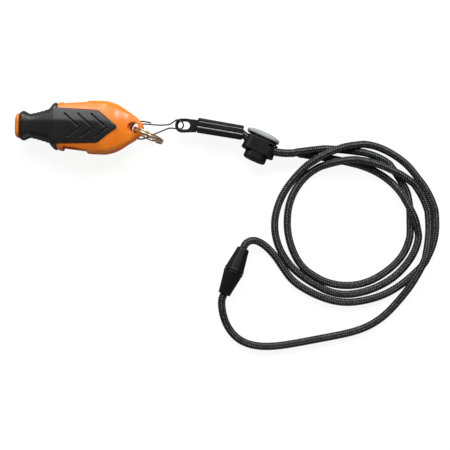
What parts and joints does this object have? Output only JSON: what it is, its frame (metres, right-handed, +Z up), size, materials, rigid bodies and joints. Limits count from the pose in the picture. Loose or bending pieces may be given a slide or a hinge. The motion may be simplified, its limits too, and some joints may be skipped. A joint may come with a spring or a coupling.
{
  "type": "pealess safety whistle on a breakaway lanyard",
  "caption": "Flat pealess whistle with a soft bite grip, on a split ring and wire snap, with a coiled neck cord, spring cord lock and breakaway barrel.",
  "frame": {"origin": "the middle of the whistle's flat underside, on the surface the object lies on", "axes": "+Z up from that surface; +X from the whistle's mouthpiece to its tail and on to the coil; +Y across"},
  "size_m": [0.2335, 0.1327, 0.0182],
  "materials": {
    "orange_plastic": "satin moulded plastic",
    "black_soft_grip": "matte soft-touch elastomer",
    "black_plastic": "semi-gloss moulded plastic",
    "grey_plastic": "satin grey moulded plastic",
    "nickel_steel": "warm nickel-plated steel",
    "dark_steel_wire": "dark drawn steel wire",
    "black_braid": "fine braided polyester"
  },
  "bodies": {
    "coil": {"cord_a_coil": "black_braid", "cord_b_coil": "black_braid", "barrel_socket": "black_plastic", "cord_stop_b": "nickel_steel"},
    "tail": {"cord_a_tail": "black_braid", "barrel_plug": "black_plastic", "cord_stop_a": "nickel_steel"},
    "leader": {"cord_a_leader": "black_braid", "cord_b_leader": "black_braid", "clamp_base": "black_plastic", "clamp_lid": "black_plastic"},
    "lock": {"lock_body": "black_plastic"},
    "push_plate": {"lock_plunger": "grey_plastic", "lock_spring": "dark_steel_wire"},
    "snap": {"snap_hook": "dark_steel_wire"},
    "gate": {"snap_gate": "dark_steel_wire"},
    "ring": {"split_ring": "nickel_steel"},
    "whistle": {"body_shell_front": "orange_plastic", "body_shell_back": "orange_plastic", "windway_insert": "orange_plastic", "grip_sleeve": "black_soft_grip"}
  },
  "joints": [
    {"name": "breakaway_pull", "type": "hinge", "parent": "coil", "child": "tail", "pos_m": [0.1586, -0.1048, 0.0018], "axis": [0, 0, 1], "range_deg": [0, 9]},
    {"name": "leader_flex", "type": "hinge", "parent": "coil", "child": "leader", "pos_m": [0.121, -0.01045, 0.0054], "axis": [0, 0, 1], "range_deg": [-15, 15]},
    {"name": "lock_slide", "type": "hinge", "parent": "leader", "child": "lock", "pos_m": [0.1131, 0.0227, 0.0054], "axis": [0, 0, 1], "range_deg": [0, 12]},
    {"name": "lock_press", "type": "slide", "parent": "lock", "child": "push_plate", "axis": [-0.3907, -0.9205, 0], "range_m": [0, 0.0012], "stiffness_N_per_m": 400, "springref_m": -0.001},
    {"name": "snap_swing", "type": "hinge", "parent": "leader", "child": "snap", "pos_m": [0.053, 0.003, 0.0054], "axis": [0.1418, 0.9899, 0], "range_deg": [-2, 8]},
    {"name": "gate_open", "type": "hinge", "parent": "snap", "child": "gate", "pos_m": [0.0506, 0.00435, 0.0067], "axis": [0, 0, 1], "range_deg": [0, 9], "stiffness_Nm_per_rad": 0.0004},
    {"name": "ring_swing", "type": "hinge", "parent": "snap", "child": "ring", "pos_m": [0.0373, -0.0036, 0.0043], "axis": [0.3971, 0.9178, 0], "range_deg": [0, 30]},
    {"name": "whistle_turn", "type": "hinge", "parent": "ring", "child": "whistle", "pos_m": [0.02977, -0.00035, 0.0088], "axis": [0, 0, 1], "range_deg": [-30, 30]}
  ]
}
